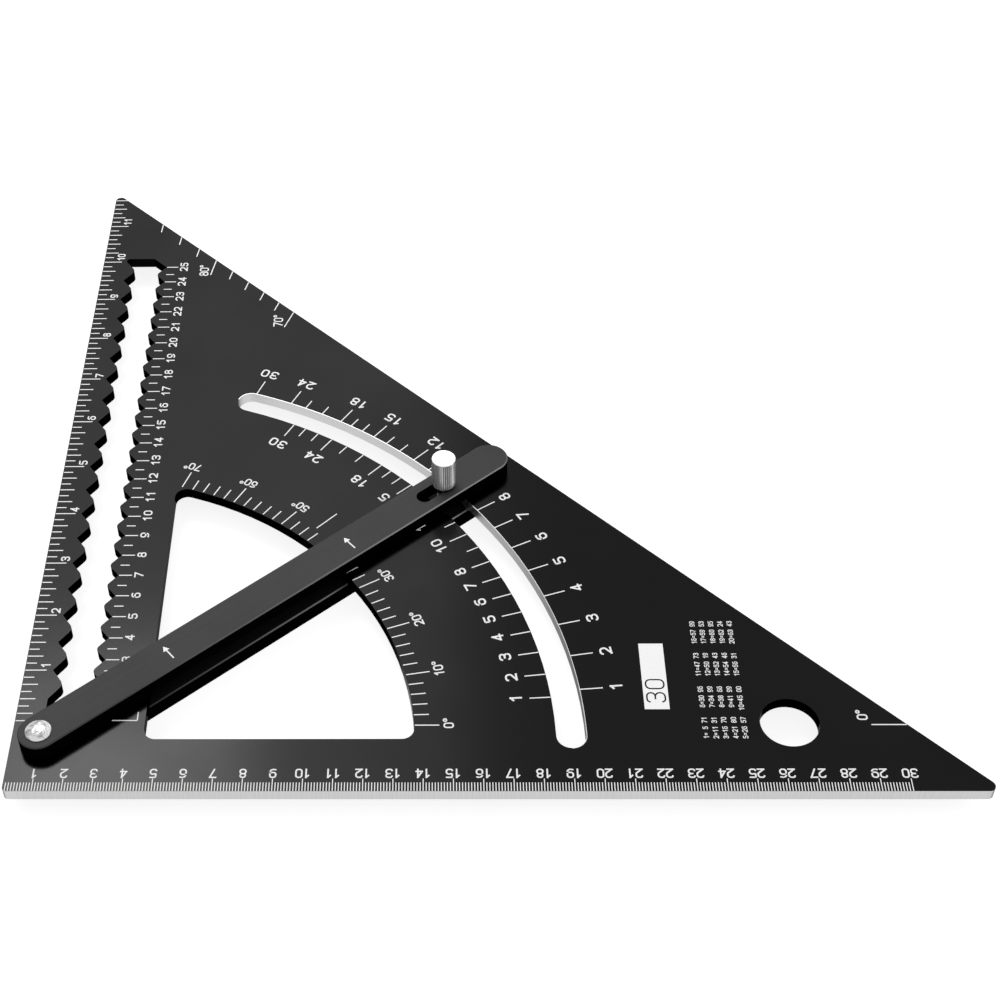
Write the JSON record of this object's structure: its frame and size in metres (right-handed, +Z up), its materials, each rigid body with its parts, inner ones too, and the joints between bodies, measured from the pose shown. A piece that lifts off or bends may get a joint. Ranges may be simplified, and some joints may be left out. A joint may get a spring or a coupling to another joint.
{
  "type": "adjustable set square",
  "caption": "Right-angled triangular plate with a swinging fence clamped in an arc slot by a thumb nut, with scales, a window and a notched scribing slot.",
  "frame": {"origin": "centre of the bounding box on the surface that the lower bar stands on", "axes": "+X along the leg with the long numbered scale, +Y along the other leg, +Z up out of the plate's marked face"},
  "size_m": [0.3268, 0.3268, 0.0319],
  "materials": {
    "plate_anodised": "black anodised, fine matt",
    "bar_anodised": "black anodised, satin",
    "rivet_bright": "bright zinc",
    "steel_plain": "plain turned",
    "steel_blackened": "blackened",
    "nut_bright": "nickel plated, straight knurl"
  },
  "bodies": {
    "plate": {"plate": "plate_anodised"},
    "fence": {"upper_bar": "bar_anodised", "lower_bar": "bar_anodised", "pivot_rivet": "rivet_bright", "pivot_sleeve": "steel_plain", "rivet_washer": "steel_plain", "clamp_screw": "steel_plain"},
    "nut_washer": {"clamp_washer": "steel_blackened"},
    "nut": {"thumb_nut": "nut_bright"}
  },
  "joints": [
    {"name": "fence_swing", "type": "hinge", "parent": "plate", "child": "fence", "pos_m": [-0.15304, -0.14329, 0.0118], "axis": [0, 0, 1], "range_deg": [-40.2, 31.1]},
    {"name": "nut_rise", "type": "slide", "parent": "fence", "child": "nut_washer", "axis": [0, 0, 1], "range_m": [0, 0.0024]},
    {"name": "nut_turn", "type": "hinge", "parent": "nut_washer", "child": "nut", "pos_m": [-0.01594, -0.02744, 0.01885], "axis": [0, 0, 1], "range_deg": [0, 1080]}
  ],
  "couplings": [
    {"joint": "nut_turn", "follows": "nut_rise", "rad_per_m": 7853.9}
  ]
}
